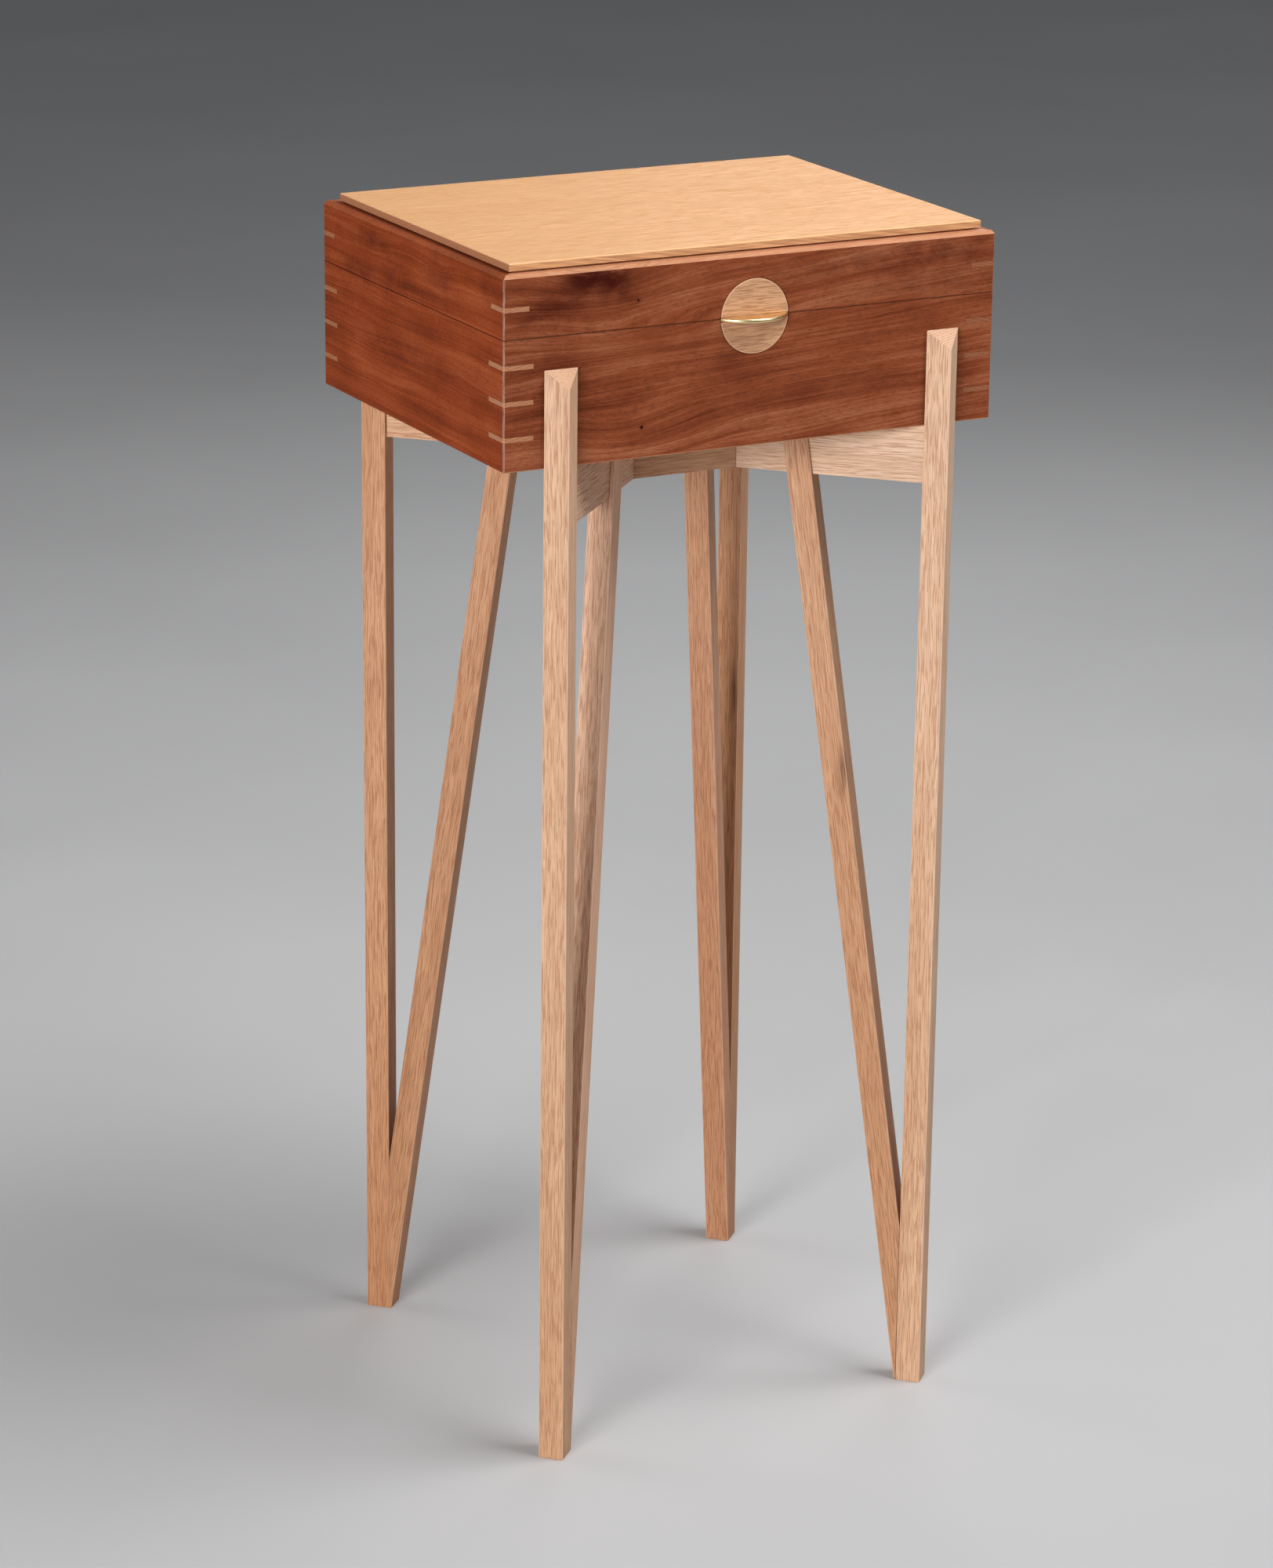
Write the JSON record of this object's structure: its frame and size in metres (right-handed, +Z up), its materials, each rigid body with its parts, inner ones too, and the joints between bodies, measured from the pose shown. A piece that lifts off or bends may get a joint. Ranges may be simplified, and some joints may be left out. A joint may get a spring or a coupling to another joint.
{
  "type": "box on stand",
  "caption": "Keyed mitred wooden keepsake box with a raised lid panel and brass finger pull, standing between the horns of an open four-legged oak stand with raking braces.",
  "frame": {"origin": "on the floor, under the middle of the stand and of the box", "axes": "+Z up, -Y towards the front of the box, where the finger pull is, and +X to the right as seen from the front"},
  "size_m": [0.4, 0.338, 0.9141],
  "materials": {
    "stand_oak": "satin",
    "inlay_oak": "satin",
    "panel_oak": "satin",
    "walnut": "satin",
    "brass": "polished"
  },
  "bodies": {
    "stand": {"post_front_left": "stand_oak", "post_front_right": "stand_oak", "post_back_right": "stand_oak", "post_back_left": "stand_oak", "brace_front_left": "stand_oak", "brace_front_right": "stand_oak", "brace_back_right": "stand_oak", "brace_back_left": "stand_oak", "arm_front_left": "stand_oak", "arm_front_right": "stand_oak", "arm_back_right": "stand_oak", "arm_back_left": "stand_oak", "hub_front": "stand_oak", "hub_right": "stand_oak", "hub_back": "stand_oak", "hub_left": "stand_oak"},
    "box": {"base_front": "walnut", "base_right": "walnut", "base_back": "walnut", "base_left": "walnut", "base_key_front_left_1": "inlay_oak", "base_key_front_left_2": "inlay_oak", "base_key_front_left_3": "inlay_oak", "base_key_front_right_1": "inlay_oak", "base_key_front_right_2": "inlay_oak", "base_key_front_right_3": "inlay_oak", "base_key_back_right_1": "inlay_oak", "base_key_back_right_2": "inlay_oak", "base_key_back_right_3": "inlay_oak", "base_key_back_left_1": "inlay_oak", "base_key_back_left_2": "inlay_oak", "base_key_back_left_3": "inlay_oak", "disc_lower": "inlay_oak", "bottom_panel": "inlay_oak", "hinge_base_leaf_left": "brass", "hinge_base_leaf_right": "brass", "hinge_pin_left": "brass", "hinge_pin_right": "brass"},
    "lid": {"lid_front": "walnut", "lid_right": "walnut", "lid_back": "walnut", "lid_left": "walnut", "lid_key_front_left": "inlay_oak", "lid_key_front_right": "inlay_oak", "lid_key_back_right": "inlay_oak", "lid_key_back_left": "inlay_oak", "disc_upper": "inlay_oak", "finger_pull": "brass", "lid_panel": "panel_oak", "hinge_lid_leaf_left": "brass", "hinge_lid_leaf_right": "brass"}
  },
  "joints": [
    {"name": "box_lift", "type": "slide", "parent": "stand", "child": "box", "axis": [0, 0, 1], "range_m": [0, 0.12]},
    {"name": "lid_hinge", "type": "hinge", "parent": "box", "child": "lid", "pos_m": [0, 0.1568, 0.8615], "axis": [-1, 0, 0], "range_deg": [0, 100]}
  ]
}
